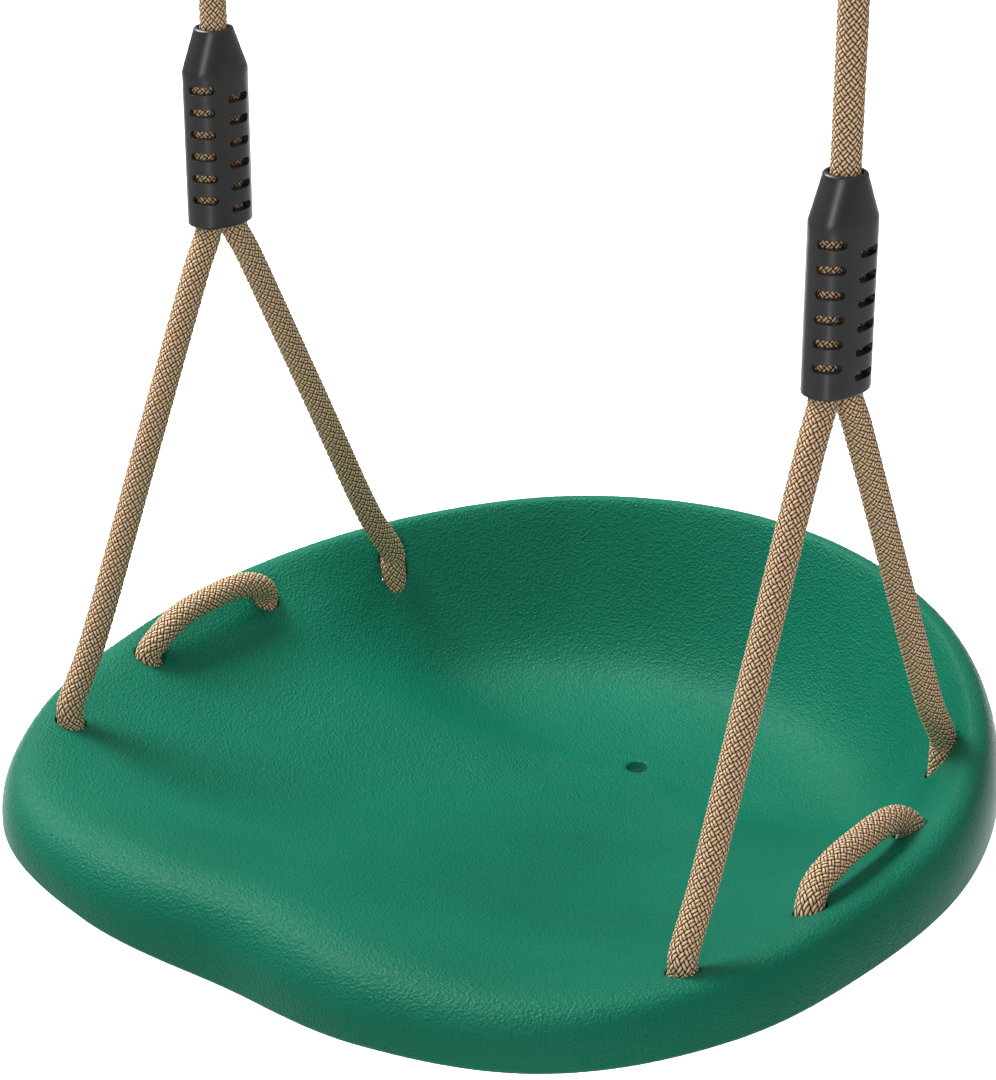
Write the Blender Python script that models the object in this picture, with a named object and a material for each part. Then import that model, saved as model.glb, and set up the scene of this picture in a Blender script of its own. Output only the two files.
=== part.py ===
"""Saucer nest swing: a dished seat threaded on two rope bridles, each hung from a quick link.

Metres, +Z up, -Y is the front of the seat and X runs from rope to rope. The origin is midway
between the two hanging points, which are the undersides of the quick links' upper bows.
"""

import math

import bmesh
import bpy
import numpy as np
from mathutils import Matrix, Vector

# ---- driving dimensions -------------------------------------------------------------------
SIDES = {"left": -1.0, "right": 1.0}
GAP = 0.0003                    # left between pieces that touch
ROPE_R = 0.006
HANG_X = 0.1575                 # from the middle to either rope

# Heights above the seat's datum plane, which is about the level of the rope holes.
SLEEVE_BOTTOM = 0.2025
SLEEVE_HEIGHT = 0.086
COLLAR_BOTTOM = 0.374
COLLAR_HEIGHT = 0.044
SLEEVE_TOP = SLEEVE_BOTTOM + SLEEVE_HEIGHT
COLLAR_TOP = COLLAR_BOTTOM + COLLAR_HEIGHT

# Moulded sleeve and collar: an oval body that tapers to a round mouth round one rope.
OVAL_LONG = 0.0148              # half the oval's length, along the two strands
OVAL_SHORT = 0.0104             # half its thickness
OVAL_POWER = 2.4
MOUTH_R = 0.0087
MOUTH_BORE_R = 0.0069           # lets the rope turn about the middle of the mouth
TAPER = 0.018
CAVITY_R = ROPE_R + GAP
STRAND = ROPE_R + GAP / 2       # from the middle to either strand inside
SLEEVE_TWIST = math.radians(-10.65)
SLOT_ROWS = 4
SLOTS_IN_ROW = 6
SLOT_PITCH = 0.0097
SLOT_WIDTH = 0.011
SLOT_HEIGHT = 0.0036
SLOT_FIRST = 0.0245             # from the sleeve's top to the first slot of the front row
SLOT_TURN = math.radians(15)    # of the front row, from straight ahead towards +X
SLOT_FLOOR = (0.0085, 0.0045)   # how near the middle the end rows and the side rows reach

# Thimble, rope eye and quick link.
THIMBLE_BORE_R = 0.008
THIMBLE_WALL = 0.0013
EYE_R = 0.0178                  # of the rope's centre line round the thimble
THIMBLE_Z = COLLAR_TOP + 0.026
WIRE_R = 0.005
LINK_WIDTH = 0.041
LINK_HEIGHT = 0.089
NUT_LENGTH = 0.029
NUT_FLATS = 0.015
NUT_BORE_R = 0.00545
NUT_BOTTOM = 0.0281             # above the centre of the lower bow's wire
UPPER_TIP = 0.0532              # where the upper limb ends inside the nut
LOWER_TIP = 0.0448
SHOULDER_R = 0.0067
SHOULDER = 0.0028

LOW_WIRE_Z = THIMBLE_Z + THIMBLE_BORE_R - WIRE_R - GAP
HIGH_WIRE_Z = LOW_WIRE_Z + LINK_HEIGHT - 2 * WIRE_R
DROP = HIGH_WIRE_Z - WIRE_R     # from the hanging points down to the datum plane

# Seat: degrees round from the front, crest radius and height, outer edge radius and height.
RIM = (
    (0, 0.160, -0.001, 0.181, -0.033),
    (22, 0.176, -0.002, 0.199, -0.028),
    (42, 0.200, -0.003, 0.216, -0.024),
    (62, 0.201, 0.000, 0.213, -0.023),
    (82, 0.194, 0.004, 0.206, -0.021),
    (104, 0.196, 0.009, 0.208, -0.018),
    (128, 0.199, 0.018, 0.212, -0.013),
    (152, 0.202, 0.027, 0.217, -0.007),
    (180, 0.204, 0.031, 0.219, -0.003),
)
BOWL = Vector((0.0, 0.097, -0.054))     # the deepest point, at the drain hole
FLOOR_ROUND = 0.12              # share of the way to the crest over which the floor levels out
FRONT_FOOT = (0.30, 0.45)       # where the side starts to rise, and how softly, at the front
BACK_FOOT = (0.62, 0.12)
CREST_ROUND = 0.07              # share of the side's height over which the crest levels out
STEEP_FROM = 80.0               # degrees from the front where the side starts to steepen
STEEP_TO = 125.0
ROLL_POWER = 2.5                # squareness of the rolled rim
WALL = 0.005
LIP_R = 0.0025
ROPE_HOLES = ((0.1640, -0.1000), (0.1790, -0.0350), (0.1775, 0.0410), (0.1535, 0.1065))
ROPE_HOLE_R = 0.0075
DRAIN_R = 0.005
LOOP_RISE = {"left": 0.0140, "right": 0.0115}   # of the rope between its middle holes
HOLE_DEPTHS = (0.0085, 0.0085, 0.0105, 0.0185)  # how far down the rope runs straight
UNDER_DROP = 0.0080             # of the rope below those depths, between two holes
UNDER_BOW = 0.0060              # how far it bows outward there

SEAT_STEPS = 64
BOWL_RINGS = 10
ROLL_RINGS = 6
OVAL_STEPS = 24
THIMBLE_STEPS = 18

COLOURS = {
    "seat_green": ((0.012, 0.205, 0.125, 1.0), 0.45, 0.0),
    "rope_tan": ((0.42, 0.27, 0.15, 1.0), 0.85, 0.0),
    "sleeve_black": ((0.018, 0.018, 0.020, 1.0), 0.42, 0.0),
    "link_steel": ((0.72, 0.73, 0.74, 1.0), 0.12, 1.0),
}


# ---- helpers ------------------------------------------------------------------------------
def clear_scene():
    for obj in list(bpy.data.objects):
        bpy.data.objects.remove(obj, do_unlink=True)


def material(name):
    """The shared material of that name, made when it is first asked for."""
    found = bpy.data.materials.get(name)
    if found:
        return found
    colour, roughness, metallic = COLOURS[name]
    made = bpy.data.materials.new(name)
    made.use_nodes = True
    shader = made.node_tree.nodes["Principled BSDF"]
    shader.inputs["Base Color"].default_value = colour
    shader.inputs["Roughness"].default_value = roughness
    shader.inputs["Metallic"].default_value = metallic
    return made


def empty(name, place):
    pivot = bpy.data.objects.new(name, None)
    pivot.location = place
    bpy.context.scene.collection.objects.link(pivot)
    return pivot


def add(name, data, look, pivot):
    """Puts mesh or curve data into the scene, drawn in world axes round its pivot's place."""
    obj = bpy.data.objects.new(name, data)
    bpy.context.scene.collection.objects.link(obj)
    obj.data.materials.append(material(look))
    obj.parent = pivot
    obj.location = -pivot.location
    return obj


def mesh_of(name, points, faces, smooth=True):
    mesh = bpy.data.meshes.new(name)
    mesh.from_pydata([tuple(p) for p in points], [], faces)
    whole = bmesh.new()
    whole.from_mesh(mesh)
    bmesh.ops.recalc_face_normals(whole, faces=whole.faces)
    whole.to_mesh(mesh)
    whole.free()
    if smooth:
        mesh.shade_smooth()
        mesh.set_sharp_from_angle(angle=math.radians(40))
    return mesh


def ring_faces(rings, steps, closed=False):
    """Quads between neighbouring rings of steps points; closed joins the last ring to the first."""
    faces = []
    for ring in range(rings if closed else rings - 1):
        above = (ring + 1) % rings
        for k in range(steps):
            turn = (k + 1) % steps
            faces.append((ring * steps + k, ring * steps + turn,
                          above * steps + turn, above * steps + k))
    return faces


def cut(obj, name, cutters):
    """Removes every (points, faces) body in cutters from obj."""
    points, faces = [], []
    for body_points, body_faces in cutters:
        start = len(points)
        points += body_points
        faces += [tuple(start + k for k in face) for face in body_faces]
    cutter = bpy.data.objects.new(name, mesh_of(name, points, faces, smooth=False))
    bpy.context.scene.collection.objects.link(cutter)
    cutter.parent = obj.parent
    cutter.location = obj.location
    cutter.hide_render = True
    cutter.display_type = "WIRE"
    modifier = obj.modifiers.new(name, "BOOLEAN")
    modifier.operation = "DIFFERENCE"
    modifier.solver = "EXACT"
    modifier.object = cutter


def prism(outline, start, end):
    """A closed prism: the outline's (offset a, offset b) points carried from start to end."""
    axis = (end - start).normalized()
    side = axis.orthogonal() if abs(axis.z) > 0.9 else axis.cross(Vector((0, 0, 1)))
    side.normalize()
    up = side.cross(axis)
    count = len(outline)
    points = [base + side * a + up * b for base in (start, end) for a, b in outline]
    faces = ring_faces(2, count)
    faces += [tuple(range(count))[::-1], tuple(range(count, 2 * count))]
    return points, faces


def circle(radius, steps):
    turns = (2 * math.pi * k / steps for k in range(steps))
    return [(radius * math.cos(t), radius * math.sin(t)) for t in turns]


def smooth_line(route, spacing):
    """Points about spacing apart on a centripetal Catmull-Rom curve through the route."""
    route = [Vector(p) for p in route]
    ends = [route[0] * 2 - route[1], *route, route[-1] * 2 - route[-2]]
    line = []
    for p0, p1, p2, p3 in zip(ends, ends[1:], ends[2:], ends[3:]):
        t1 = (p1 - p0).length ** 0.5
        t2 = t1 + (p2 - p1).length ** 0.5
        t3 = t2 + (p3 - p2).length ** 0.5
        steps = max(1, round((p2 - p1).length / spacing))
        for k in range(steps):
            t = t1 + (t2 - t1) * k / steps
            a1 = p0 * ((t1 - t) / t1) + p1 * (t / t1)
            a2 = p1 * ((t2 - t) / (t2 - t1)) + p2 * ((t - t1) / (t2 - t1))
            a3 = p2 * ((t3 - t) / (t3 - t2)) + p3 * ((t - t2) / (t3 - t2))
            b1 = a1 * ((t2 - t) / t2) + a2 * (t / t2)
            b2 = a2 * ((t3 - t) / (t3 - t1)) + a3 * ((t - t1) / (t3 - t1))
            line.append(b1 * ((t2 - t) / (t2 - t1)) + b2 * ((t - t1) / (t2 - t1)))
    return line + [route[-1]]


def tube(name, line, radius, thickness=None, resolution=2):
    """A curve with a round section and filled ends; thickness scales it at each point."""
    curve = bpy.data.curves.new(name, "CURVE")
    curve.dimensions = "3D"
    curve.bevel_depth = radius
    curve.bevel_resolution = resolution
    curve.use_fill_caps = True
    spline = curve.splines.new("POLY")
    spline.points.add(len(line) - 1)
    for k, place in enumerate(line):
        spline.points[k].co = (*place, 1.0)
        spline.points[k].radius = thickness[k] if thickness else 1.0
    return curve


# ---- seat ---------------------------------------------------------------------------------
def smoothstep(value):
    share = min(max(value, 0.0), 1.0)
    return share * share * (3 - 2 * share)


def rim_at(degrees):
    """Crest radius and height, edge radius and height, by a cubic through the rim's rows."""
    angle = abs((degrees + 180.0) % 360.0 - 180.0)
    rows = [(-RIM[1][0], *RIM[1][1:]), *RIM, (360 - RIM[-2][0], *RIM[-2][1:])]
    for before, low, high, after in zip(rows, rows[1:], rows[2:], rows[3:]):
        if angle > high[0]:
            continue
        span = high[0] - low[0]
        t = (angle - low[0]) / span
        values = []
        for k in range(1, 5):
            slope_low = (high[k] - before[k]) / (high[0] - before[0]) * span
            slope_high = (after[k] - low[k]) / (after[0] - low[0]) * span
            values.append(low[k] * (1 + 2 * t) * (1 - t) ** 2 + high[k] * t * t * (3 - 2 * t)
                          + slope_low * t * (1 - t) ** 2 - slope_high * t * t * (1 - t))
        return values
    return list(RIM[-1][1:])


def at_angle(degrees, radius, height):
    turn = math.radians(degrees)
    return Vector((radius * math.sin(turn), -radius * math.cos(turn), height))


def rise(share, degrees):
    """How far up the bowl's side is, from 0 at the bottom to 1 at the crest."""
    angle = abs((degrees + 180.0) % 360.0 - 180.0)
    steep = smoothstep((angle - STEEP_FROM) / (STEEP_TO - STEEP_FROM))
    foot, softness = (f + (b - f) * steep for f, b in zip(FRONT_FOOT, BACK_FOOT))

    def climb(way):
        way = math.hypot(way, FLOOR_ROUND) - FLOOR_ROUND
        return way - foot + math.hypot(way - foot, softness)

    left = (climb(1.0) - climb(share)) / (climb(1.0) - climb(0.0))
    return 1 - (math.hypot(left, CREST_ROUND) - CREST_ROUND) / (math.hypot(1, CREST_ROUND) - CREST_ROUND)


def bowl_point(share, degrees):
    crest = at_angle(degrees, *rim_at(degrees)[:2])
    point = BOWL.lerp(crest, share)
    point.z = BOWL.z + (crest.z - BOWL.z) * rise(share, degrees)
    return point


def bowl_normal(share, degrees):
    step = 0.01
    outward = bowl_point(share, degrees) - bowl_point(share - step, degrees)
    around = bowl_point(share, degrees + 1) - bowl_point(share, degrees - 1)
    return outward.cross(around).normalized()


def surface_height(x, y):
    """The seat's top surface over (x, y), found by halving along the ray from the bowl's middle."""
    away = Vector((x - BOWL.x, y - BOWL.y))

    def ray_angle(degrees):
        crest = at_angle(degrees, rim_at(degrees)[0], 0.0)
        return math.atan2(crest.x - BOWL.x, -(crest.y - BOWL.y))

    want = math.atan2(away.x, -away.y)
    low, high = -180.0, 180.0
    for _ in range(40):
        middle = (low + high) / 2
        if ray_angle(middle) < want:
            low = middle
        else:
            high = middle
    crest = at_angle(low, rim_at(low)[0], 0.0)
    share = away.length / Vector((crest.x - BOWL.x, crest.y - BOWL.y)).length
    return bowl_point(share, low).z


def roll_point(share, degrees):
    """On the rolled rim, from the crest at 0 to the outer edge at 1."""
    crest_r, crest_z, edge_r, edge_z = rim_at(degrees)
    turn = share * math.pi / 2
    out = math.sin(turn) ** (2 / ROLL_POWER)
    down = 1 - math.cos(turn) ** (2 / ROLL_POWER)
    return at_angle(degrees, crest_r + (edge_r - crest_r) * out,
                    crest_z + (edge_z - crest_z) * down)


def seat_rings():
    """Rings of points from the bowl's middle over the rim, round its lip and back underneath."""
    degrees = [360.0 * k / SEAT_STEPS - 180.0 for k in range(SEAT_STEPS)]
    shares = [1 - (1 - FLOOR_ROUND) * (1 - k / BOWL_RINGS) ** 1.6 for k in range(BOWL_RINGS + 1)]
    rolls = [math.sin(math.pi / 2 * k / ROLL_RINGS) for k in range(1, ROLL_RINGS + 1)]
    top = [[bowl_point(s, d) for d in degrees] for s in shares]
    roll = [[roll_point(s, d) for d in degrees] for s in rolls]
    edges = [rim_at(d) for d in degrees]
    lip = []
    for inset, drop in ((LIP_R * 0.6, LIP_R), (WALL - LIP_R * 0.6, LIP_R), (WALL, 0.0)):
        lip.append([at_angle(d, e[2] - inset, e[3] - drop) for d, e in zip(degrees, edges)])
    skirt = [at_angle(d, e[2] - WALL, 0.4 * e[1] + 0.6 * e[3] - 0.3 * WALL)
             for d, e in zip(degrees, edges)]
    shoulder = [roll_point(0.45, d) - at_angle(d, 0.5 * WALL, 0.85 * WALL) for d in degrees]
    crest = [bowl_point(1.0, d) - Vector((0, 0, WALL)) for d in degrees]
    under = [[bowl_point(s, d) - bowl_normal(s, d) * WALL for d in degrees]
             for s in reversed(shares[:-1])]
    return [*top, *roll, *lip, skirt, shoulder, crest, *under]


def seat_shell(pivot):
    rings = seat_rings()
    points = [p for ring in rings for p in ring]
    faces = ring_faces(len(rings), SEAT_STEPS)
    middle_top = len(points)
    points += [BOWL, BOWL - Vector((0, 0, WALL))]
    last = (len(rings) - 1) * SEAT_STEPS
    for k in range(SEAT_STEPS):
        turn = (k + 1) % SEAT_STEPS
        faces.append((k, turn, middle_top))
        faces.append((last + turn, last + k, middle_top + 1))
    drop = Vector((0, 0, -DROP))
    shell = add("seat_shell", mesh_of("seat_shell", [p + drop for p in points], faces),
                "seat_green", pivot)
    reach = Vector((0, 0, 0.05))
    cutters = []
    for side in SIDES.values():
        for x, y in ROPE_HOLES:
            middle = Vector((side * x, y, surface_height(x, y))) + drop
            cutters.append(prism(circle(ROPE_HOLE_R, 16), middle - reach, middle + reach))
    drain = BOWL + drop
    cutters.append(prism(circle(DRAIN_R, 16), drain - reach, drain + reach))
    cut(shell, "seat_holes", cutters)


# ---- ropes --------------------------------------------------------------------------------
def bridle_route(side_name):
    """Down the front leg, through the four holes of its side and up the back leg, from the datum."""
    side = SIDES[side_name]
    hang = Vector((side * HANG_X, 0, 0))
    along = Matrix.Rotation(SLEEVE_TWIST, 3, "Z") @ Vector((0, STRAND, 0))
    holes = [Vector((side * x, y, surface_height(x, y))) for x, y in ROPE_HOLES]
    front, back = hang - along, hang + along
    up = Vector((0, 0, 1))
    depths = [hole - up * depth for hole, depth in zip(holes, HOLE_DEPTHS)]
    first, last = holes[0], holes[3]
    lean_front = (front + up * SLEEVE_BOTTOM - first).normalized()
    lean_back = (back + up * SLEEVE_BOTTOM - last).normalized()
    route = [front + up * (SLEEVE_TOP - TAPER - 0.002), front + up * (SLEEVE_BOTTOM + 0.02),
             front + up * (SLEEVE_BOTTOM - 0.001)]
    route += [first + lean_front * reach for reach in (0.205, 0.12, 0.035)]
    route += [first + up * 0.006, first]
    route += under_route(depths[0], depths[1])
    route += over_route(holes[1], holes[2], LOOP_RISE[side_name])
    route += under_route(depths[2], depths[3])
    route += [last, last + up * 0.006]
    route += [last + lean_back * reach for reach in (0.035, 0.12, 0.205)]
    route += [back + up * (SLEEVE_BOTTOM - 0.001), back + up * (SLEEVE_BOTTOM + 0.02),
              back + up * (SLEEVE_TOP - TAPER - 0.002)]
    return [p - Vector((0, 0, DROP)) for p in route]


def under_route(start, end):
    """Below the seat from one hole to the next, bowed out between the bowl and the skirt."""
    drop = Vector((0, 0, -UNDER_DROP))
    out = Vector((start.x + end.x, start.y + end.y, 0)).normalized() * UNDER_BOW
    shares = ((0.22, 0.7), (0.5, 1.0), (0.78, 0.7))
    return [start, *(start.lerp(end, share) + drop + out * bow for share, bow in shares), end]


def over_route(start, end, height):
    """Above the seat between the two middle holes, arched clear of the rim beside them."""
    away = (start - end).normalized() * 0.001
    inward = Vector((-math.copysign(0.0018, start.x), 0, 0))
    lift = Vector((0, 0, height))
    shares = ((0.08, 0.56), (0.25, 0.92), (0.5, 1.0), (0.75, 0.92), (0.92, 0.56))
    arch = [start.lerp(end, share) + lift * up + inward for share, up in shares]
    return [start + away, *arch, end - away]


def bridle_rope(side_name, pivot):
    name = f"bridle_rope_{side_name}"
    line = smooth_line(bridle_route(side_name), 0.0135)
    add(name, tube(name, line, ROPE_R), "rope_tan", pivot)


def main_route(side):
    """Up from the bridle sleeve's mouth, through the collar and round the thimble."""
    route = [(0, SLEEVE_TOP + 0.002), (0, SLEEVE_TOP + 0.04), (0, COLLAR_BOTTOM - 0.006),
             (0, COLLAR_BOTTOM + 0.007), (-STRAND, COLLAR_BOTTOM + 0.026),
             (-STRAND, COLLAR_TOP - 0.007), (-STRAND, COLLAR_TOP + 0.001)]
    route += [(EYE_R * math.cos(math.radians(a)), THIMBLE_Z + EYE_R * math.sin(math.radians(a)))
              for a in range(208, -29, -26)]
    route += [(STRAND, COLLAR_TOP + 0.001), (STRAND, COLLAR_TOP - 0.007),
              (STRAND, COLLAR_BOTTOM + 0.027)]
    return [Vector((side * HANG_X, y, z - DROP)) for y, z in route]


def main_rope(side_name, pivot):
    """Its lower end is a half ball, centred where the rope turns in the sleeve's mouth."""
    name = f"main_rope_{side_name}"
    line = smooth_line(main_route(SIDES[side_name]), 0.0062)
    turn = Vector((SIDES[side_name] * HANG_X, 0, SLEEVE_TOP - DROP))
    ball = [math.radians(a) for a in (88, 66, 44, 22, 0)]
    line = [turn - Vector((0, 0, ROPE_R * math.sin(a))) for a in ball] + line
    thickness = [math.cos(a) for a in ball] + [1.0] * (len(line) - len(ball))
    add(name, tube(name, line, ROPE_R, thickness), "rope_tan", pivot)


# ---- moulded sleeves and collars ----------------------------------------------------------
def oval(share):
    """The outline of the body, blended to the round mouth as share goes from 1 to 0."""
    ring = []
    for k in range(OVAL_STEPS):
        turn = 2 * math.pi * k / OVAL_STEPS
        c, s = math.cos(turn), math.sin(turn)
        power = 2 / OVAL_POWER
        x = OVAL_SHORT * math.copysign(abs(s) ** power, s)
        y = OVAL_LONG * math.copysign(abs(c) ** power, c)
        ring.append((x * share + MOUTH_R * s * (1 - share), y * share + MOUTH_R * c * (1 - share)))
    return ring


def cavity(share):
    """The outline round two strands side by side, blended to the round bore of the mouth."""
    ring = []
    for k in range(OVAL_STEPS):
        turn = 2 * math.pi * (k + 0.5) / OVAL_STEPS
        c, s = math.cos(turn), math.sin(turn)
        y = CAVITY_R * c + math.copysign(STRAND, c)
        radius = MOUTH_BORE_R * (1 - share)
        ring.append((CAVITY_R * s * share + s * radius, y * share + c * radius))
    return ring


def moulding(name, hang, mouth_z, foot_z, twist, pivot):
    """A moulded body from its round mouth at mouth_z to its oval foot at foot_z."""
    way = math.copysign(1.0, foot_z - mouth_z)
    taper_z = mouth_z + way * TAPER
    edge = 0.001
    turn = Matrix.Rotation(twist, 3, "Z")
    sections = [(oval(0.0), mouth_z + way * edge, 1.0), (oval(1.0), taper_z, 1.0),
                (oval(1.0), foot_z - way * edge, 1.0), (oval(1.0), foot_z, 0.95),
                (cavity(1.0), foot_z, 1.0), (cavity(1.0), taper_z, 1.0),
                (cavity(0.0), mouth_z + way * (ROPE_R + edge), 1.0), (cavity(0.0), mouth_z, 1.0),
                (oval(0.0), mouth_z, 0.93)]
    points = [hang + turn @ Vector((x * size, y * size, 0)) + Vector((0, 0, z))
              for ring, z, size in sections for x, y in ring]
    faces = ring_faces(len(sections), OVAL_STEPS, closed=True)
    return add(name, mesh_of(name, points, faces), "sleeve_black", pivot)


def slot_cutters(hang):
    """Four rows of slots a quarter turn apart; every other row sits half a pitch lower."""
    half = (SLOT_WIDTH - SLOT_HEIGHT) / 2
    outline = [(math.copysign(half, a) + a, b) for a, b in circle(SLOT_HEIGHT / 2, 6)]
    cutters = []
    for row in range(SLOT_ROWS):
        turn = SLOT_TURN + math.radians(90 * row)
        out = Vector((math.sin(turn), -math.cos(turn), 0))
        for k in range(SLOTS_IN_ROW):
            z = SLEEVE_TOP - SLOT_FIRST - SLOT_PITCH * (k + 0.5 * (row % 2)) - DROP
            middle = hang + Vector((0, 0, z))
            cutters.append(prism(outline, middle + out * SLOT_FLOOR[row % 2],
                                 middle + out * 2 * OVAL_SHORT))
    return cutters


def sleeve(side_name, pivot):
    hang = Vector((SIDES[side_name] * HANG_X, 0, 0))
    body = moulding(f"sleeve_{side_name}", hang, SLEEVE_TOP - DROP, SLEEVE_BOTTOM - DROP,
                    SLEEVE_TWIST, pivot)
    cut(body, f"sleeve_slots_{side_name}", slot_cutters(hang))


def eye_collar(side_name, pivot):
    hang = Vector((SIDES[side_name] * HANG_X, 0, 0))
    moulding(f"eye_collar_{side_name}", hang, COLLAR_BOTTOM - DROP, COLLAR_TOP - DROP, 0.0, pivot)


# ---- thimble ------------------------------------------------------------------------------
def thimble(side_name, pivot):
    """A channel turned about X that the rope's eye lies in."""
    groove_r = ROPE_R + 2 * GAP
    back_r = groove_r + THIMBLE_WALL
    centre_r = THIMBLE_BORE_R + back_r
    flange = math.asin((EYE_R - centre_r) / groove_r)
    inner = [(groove_r * math.sin(t), EYE_R - groove_r * math.cos(t))
             for t in np.linspace(-math.pi / 2 + flange, math.pi / 2 - flange, 7)]
    outer = [(back_r * math.sin(t), centre_r - back_r * math.cos(t))
             for t in np.linspace(math.pi / 2, -math.pi / 2, 9)]
    profile = inner + outer
    middle = Vector((SIDES[side_name] * HANG_X, 0, THIMBLE_Z - DROP))
    points = []
    for k in range(THIMBLE_STEPS):
        turn = 2 * math.pi * k / THIMBLE_STEPS
        points += [middle + Vector((x, r * math.cos(turn), r * math.sin(turn)))
                   for x, r in profile]
    name = f"thimble_{side_name}"
    faces = ring_faces(THIMBLE_STEPS, len(profile), closed=True)
    add(name, mesh_of(name, points, faces), "sleeve_black", pivot)


# ---- quick links --------------------------------------------------------------------------
def link_line():
    """(x, z) and thickness along the wire: lower limb, bows and plain limb, to the upper tip."""
    bow_r = LINK_WIDTH / 2 - WIRE_R
    low, high = bow_r, LINK_HEIGHT - 2 * WIRE_R - bow_r
    nut_top = NUT_BOTTOM + NUT_LENGTH
    points = [(bow_r, LOWER_TIP, 0.9), (bow_r, LOWER_TIP - 0.001, 1.0)]
    bend = [math.radians(a) for a in range(0, 181, 15)]
    points += [(bow_r * math.cos(a), low - bow_r * math.sin(a), 1.0) for a in bend]
    points += [(-bow_r * math.cos(a), high + bow_r * math.sin(a), 1.0) for a in bend]
    wide = SHOULDER_R / WIRE_R
    step = 0.0002               # height over which the shoulder's faces slope
    points += [(bow_r, nut_top + SHOULDER + 2 * step, 1.0), (bow_r, nut_top + SHOULDER + step, wide),
               (bow_r, nut_top + GAP + step, wide), (bow_r, nut_top + GAP, 1.0),
               (bow_r, UPPER_TIP + 0.001, 1.0), (bow_r, UPPER_TIP, 0.9)]
    return points


def quick_link(side_name, pivot):
    hang = Vector((SIDES[side_name] * HANG_X, 0, LOW_WIRE_Z - DROP))
    points = link_line()
    line = [hang + Vector((x, 0, z)) for x, z, _ in points]
    name = f"quick_link_{side_name}"
    add(name, tube(name, line, WIRE_R, [p[2] for p in points], 4), "link_steel", pivot)


def hexagon(flats, step_degrees):
    """Points round a hexagon with a corner straight towards -X and +X."""
    points = []
    for angle in range(0, 360, step_degrees):
        off_flat = (angle % 60) - 30
        reach = flats / 2 / math.cos(math.radians(off_flat))
        turn = math.radians(angle)
        points.append((reach * math.cos(turn), reach * math.sin(turn)))
    return points


def link_nut(side_name, pivot):
    """A long hexagonal nut; it slides as it is unscrewed down the lower limb."""
    foot = Vector((SIDES[side_name] * HANG_X + LINK_WIDTH / 2 - WIRE_R, 0,
                   LOW_WIRE_Z + NUT_BOTTOM - DROP))
    outside = hexagon(NUT_FLATS, 15)
    bore = circle(NUT_BORE_R, len(outside))
    sections = [(outside, 0.0), (outside, NUT_LENGTH), (bore, NUT_LENGTH), (bore, 0.0)]
    points = [foot + Vector((x, y, z)) for ring, z in sections for x, y in ring]
    name = f"link_nut_{side_name}"
    faces = ring_faces(len(sections), len(outside), closed=True)
    add(name, mesh_of(name, points, faces), "link_steel", pivot)


# ---- the whole swing ----------------------------------------------------------------------
def main():
    clear_scene()
    hang_line = empty("hang_line", (0, 0, 0))
    swing_axis = empty("swing_axis", (0, 0, LOW_WIRE_Z - DROP))
    seat_axis = empty("seat_axis", (0, 0, SLEEVE_TOP - DROP))
    for side_name in SIDES:
        quick_link(side_name, hang_line)
        link_nut(side_name, hang_line)
        thimble(side_name, swing_axis)
        main_rope(side_name, swing_axis)
        eye_collar(side_name, swing_axis)
        sleeve(side_name, seat_axis)
        bridle_rope(side_name, seat_axis)
    seat_shell(seat_axis)


main()
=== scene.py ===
"""The saucer nest swing's looks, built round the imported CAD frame. Metres, +Z up."""

import math

import bmesh
import bpy
import numpy as np
from mathutils import Matrix, Vector


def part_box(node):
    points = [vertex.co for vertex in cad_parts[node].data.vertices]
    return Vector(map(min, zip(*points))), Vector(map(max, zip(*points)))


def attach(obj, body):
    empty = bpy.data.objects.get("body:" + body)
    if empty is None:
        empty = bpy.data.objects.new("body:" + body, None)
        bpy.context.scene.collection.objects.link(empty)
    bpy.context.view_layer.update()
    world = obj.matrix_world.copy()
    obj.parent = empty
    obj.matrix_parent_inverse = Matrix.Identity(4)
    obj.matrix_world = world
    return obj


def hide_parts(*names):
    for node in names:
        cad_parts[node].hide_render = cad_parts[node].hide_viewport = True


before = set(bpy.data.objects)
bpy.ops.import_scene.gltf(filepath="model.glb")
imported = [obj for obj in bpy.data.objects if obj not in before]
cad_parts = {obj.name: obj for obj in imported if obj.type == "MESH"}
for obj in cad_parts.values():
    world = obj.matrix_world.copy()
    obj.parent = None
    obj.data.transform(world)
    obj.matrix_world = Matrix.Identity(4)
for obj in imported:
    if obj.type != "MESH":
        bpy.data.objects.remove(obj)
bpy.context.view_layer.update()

# ---- places and sizes, from the frame -----------------------------------------------------
SIDES = {"left": -1.0, "right": 1.0}
sleeve_low, sleeve_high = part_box("sleeve_right")
collar_low, collar_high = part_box("eye_collar_right")

HANG_X = (sleeve_low[0] + sleeve_high[0]) / 2
ROPE_R = 0.006
GAP = 0.0003                    # between pieces that would touch

# Heights here and below are above the seat's datum plane, which is at DATUM_Z in the frame.
SLEEVE_HEIGHT = 0.086
SLEEVE_BOTTOM = 0.2025
SLEEVE_TOP = SLEEVE_BOTTOM + SLEEVE_HEIGHT
DATUM_Z = sleeve_high[2] - SLEEVE_TOP
COLLAR_BOTTOM = collar_low[2] - DATUM_Z
COLLAR_TOP = collar_high[2] - DATUM_Z

# Sleeves and collars: an oval body that tapers to a round mouth.
OVAL_LONG = 0.0148              # half the oval's length, from strand to strand
OVAL_SHORT = 0.0104             # half its thickness
OVAL_POWER = 2.4                # its squareness
OVAL_STEPS = 120
MOUTH_R = 0.0087
MOUTH_BORE_R = 0.0069
TAPER = 0.018
MOULDED_EDGE = 0.0012           # roundness of the body's edges
CAVITY_R = 0.0063
STRAND = ROPE_R + GAP / 2       # from the middle of a sleeve to either strand in it
SLEEVE_TWIST = math.radians(-10.65)

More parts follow.
